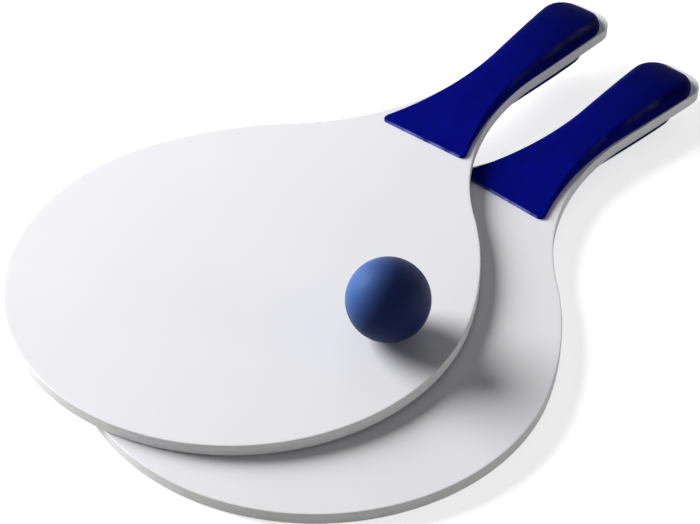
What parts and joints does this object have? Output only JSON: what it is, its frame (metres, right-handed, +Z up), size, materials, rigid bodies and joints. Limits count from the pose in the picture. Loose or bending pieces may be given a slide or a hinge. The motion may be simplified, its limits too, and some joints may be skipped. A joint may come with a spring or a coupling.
{
  "type": "beach paddle ball set",
  "caption": "Beach paddle ball set: flat white round-bladed wooden paddles with blue handle grips, one lying on the other, and a blue rubber ball on top.",
  "frame": {"origin": "on the table under the middle of the set's box", "axes": "+X along the lower paddle's handle, from blade to handle end; +Z up"},
  "size_m": [0.3934, 0.27, 0.0566],
  "materials": {
    "white_board": "white coated faces, bare sawn grey edge",
    "blue_grip": "satin deep blue paint",
    "blue_rubber": "matte, slightly dusty"
  },
  "bodies": {
    "root": {"lower_board": "white_board", "upper_board": "white_board", "lower_front_grip": "blue_grip", "lower_back_grip": "blue_grip", "upper_front_grip": "blue_grip", "upper_back_grip": "blue_grip", "ball": "blue_rubber"}
  },
  "joints": []
}
